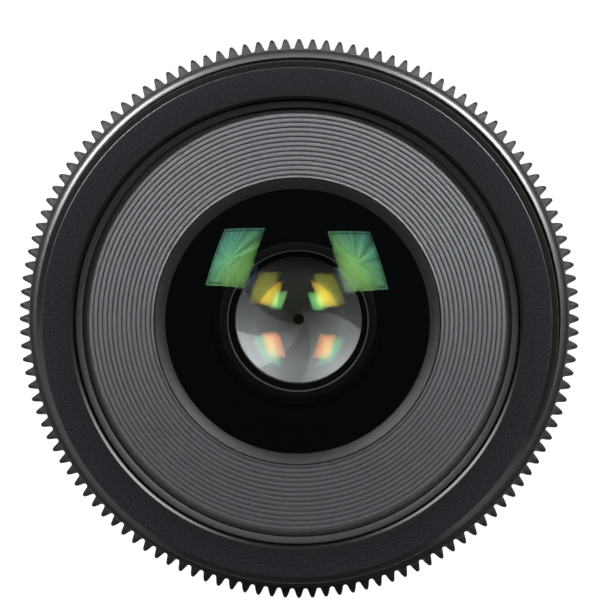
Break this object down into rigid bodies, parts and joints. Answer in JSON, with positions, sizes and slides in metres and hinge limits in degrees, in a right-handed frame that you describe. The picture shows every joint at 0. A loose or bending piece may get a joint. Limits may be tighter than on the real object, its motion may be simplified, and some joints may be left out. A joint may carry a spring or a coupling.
{
  "type": "cinema prime lens",
  "caption": "Cinema prime lens with a geared focus ring, a geared iris ring, a cam-driven focus group, a blade iris and a positive-lock camera mount.",
  "frame": {"origin": "on the optical axis at the seating plane of the mount's flange", "axes": "+Z along the optical axis towards the front of the lens, +X and +Y square to it"},
  "size_m": [0.104, 0.104, 0.117],
  "materials": {
    "matt_black": "fine matt black anodised coat",
    "satin_black": "satin black anodised",
    "baffle_black": "turned satin black, finely ribbed",
    "lens_black": "dull anti-reflection black",
    "alloy": "plain turned alloy",
    "mount_steel": "ground stainless steel",
    "screw_steel": "dark steel",
    "brass": "plain brass",
    "blade_steel": "blackened spring steel",
    "glass": "coated optical glass"
  },
  "bodies": {
    "root": {"front_ring": "matt_black", "front_baffle": "baffle_black", "front_retainer": "lens_black", "front_element": "glass", "second_element": "glass", "second_retainer": "baffle_black", "front_cell": "lens_black", "front_screws": "screw_steel", "main_barrel": "alloy", "barrel_screws": "screw_steel", "index_ring": "matt_black", "index_screws": "screw_steel", "rear_barrel": "satin_black", "mount_flange": "mount_steel", "mount_shim": "brass", "mount_screws": "screw_steel", "rear_cell": "lens_black", "rear_cell_screws": "screw_steel", "rear_front_element": "glass", "rear_middle_element": "glass", "rear_back_element": "glass", "rear_front_retainer": "lens_black", "rear_spacer": "lens_black", "rear_retainer": "lens_black", "iris_base": "lens_black", "iris_retainer": "lens_black", "iris_screws": "screw_steel", "focus_stop_pin": "screw_steel"},
    "focus_drive": {"focus_ring": "matt_black", "focus_gear": "satin_black", "cam_barrel": "alloy", "focus_ring_screws": "screw_steel"},
    "focus_group": {"focus_carrier": "alloy", "cam_pins": "screw_steel", "cam_rollers": "brass", "focus_front_element": "glass", "focus_rear_element": "glass", "focus_front_retainer": "lens_black", "focus_rear_retainer": "lens_black"},
    "iris_drive": {"iris_ring": "matt_black", "iris_gear": "satin_black", "iris_lever": "screw_steel", "lever_screw": "screw_steel", "iris_rotor": "lens_black"},
    "blade_1": {"blade_1": "blade_steel"},
    "blade_2": {"blade_2": "blade_steel"},
    "blade_3": {"blade_3": "blade_steel"},
    "blade_4": {"blade_4": "blade_steel"},
    "blade_5": {"blade_5": "blade_steel"},
    "blade_6": {"blade_6": "blade_steel"},
    "blade_7": {"blade_7": "blade_steel"},
    "blade_8": {"blade_8": "blade_steel"},
    "blade_9": {"blade_9": "blade_steel"}
  },
  "joints": [
    {"name": "focus_turn", "type": "hinge", "parent": "root", "child": "focus_drive", "pos_m": [0, 0, 0.055], "axis": [0, 0, 1], "range_deg": [0, 180]},
    {"name": "focus_travel", "type": "slide", "parent": "root", "child": "focus_group", "axis": [0, 0, 1], "range_m": [0, 0.007]},
    {"name": "iris_turn", "type": "hinge", "parent": "root", "child": "iris_drive", "pos_m": [0, 0, 0.0227], "axis": [0, 0, 1], "range_deg": [0, 48]},
    {"name": "blade_1_swing", "type": "hinge", "parent": "root", "child": "blade_1", "pos_m": [0.0207, 0, 0.0751], "axis": [0, 0, 1], "range_deg": [-31.45, 0]},
    {"name": "blade_2_swing", "type": "hinge", "parent": "root", "child": "blade_2", "pos_m": [0.01586, 0.01331, 0.0751], "axis": [0, 0, 1], "range_deg": [-31.45, 0]},
    {"name": "blade_3_swing", "type": "hinge", "parent": "root", "child": "blade_3", "pos_m": [0.00359, 0.02039, 0.0751], "axis": [0, 0, 1], "range_deg": [-31.45, 0]},
    {"name": "blade_4_swing", "type": "hinge", "parent": "root", "child": "blade_4", "pos_m": [-0.01035, 0.01793, 0.0751], "axis": [0, 0, 1], "range_deg": [-31.45, 0]},
    {"name": "blade_5_swing", "type": "hinge", "parent": "root", "child": "blade_5", "pos_m": [-0.01945, 0.00708, 0.0751], "axis": [0, 0, 1], "range_deg": [-31.45, 0]},
    {"name": "blade_6_swing", "type": "hinge", "parent": "root", "child": "blade_6", "pos_m": [-0.01945, -0.00708, 0.0751], "axis": [0, 0, 1], "range_deg": [-31.45, 0]},
    {"name": "blade_7_swing", "type": "hinge", "parent": "root", "child": "blade_7", "pos_m": [-0.01035, -0.01793, 0.0751], "axis": [0, 0, 1], "range_deg": [-31.45, 0]},
    {"name": "blade_8_swing", "type": "hinge", "parent": "root", "child": "blade_8", "pos_m": [0.00359, -0.02039, 0.0751], "axis": [0, 0, 1], "range_deg": [-31.45, 0]},
    {"name": "blade_9_swing", "type": "hinge", "parent": "root", "child": "blade_9", "pos_m": [0.01586, -0.01331, 0.0751], "axis": [0, 0, 1], "range_deg": [-31.45, 0]}
  ],
  "couplings": [
    {"joint": "focus_travel", "follows": "focus_turn", "m_per_rad": 0.0022282},
    {"joint": "blade_1_swing", "follows": "iris_turn", "ratio": -0.65519},
    {"joint": "blade_2_swing", "follows": "iris_turn", "ratio": -0.65519},
    {"joint": "blade_3_swing", "follows": "iris_turn", "ratio": -0.65519},
    {"joint": "blade_4_swing", "follows": "iris_turn", "ratio": -0.65519},
    {"joint": "blade_5_swing", "follows": "iris_turn", "ratio": -0.65519},
    {"joint": "blade_6_swing", "follows": "iris_turn", "ratio": -0.65519},
    {"joint": "blade_7_swing", "follows": "iris_turn", "ratio": -0.65519},
    {"joint": "blade_8_swing", "follows": "iris_turn", "ratio": -0.65519},
    {"joint": "blade_9_swing", "follows": "iris_turn", "ratio": -0.65519}
  ]
}
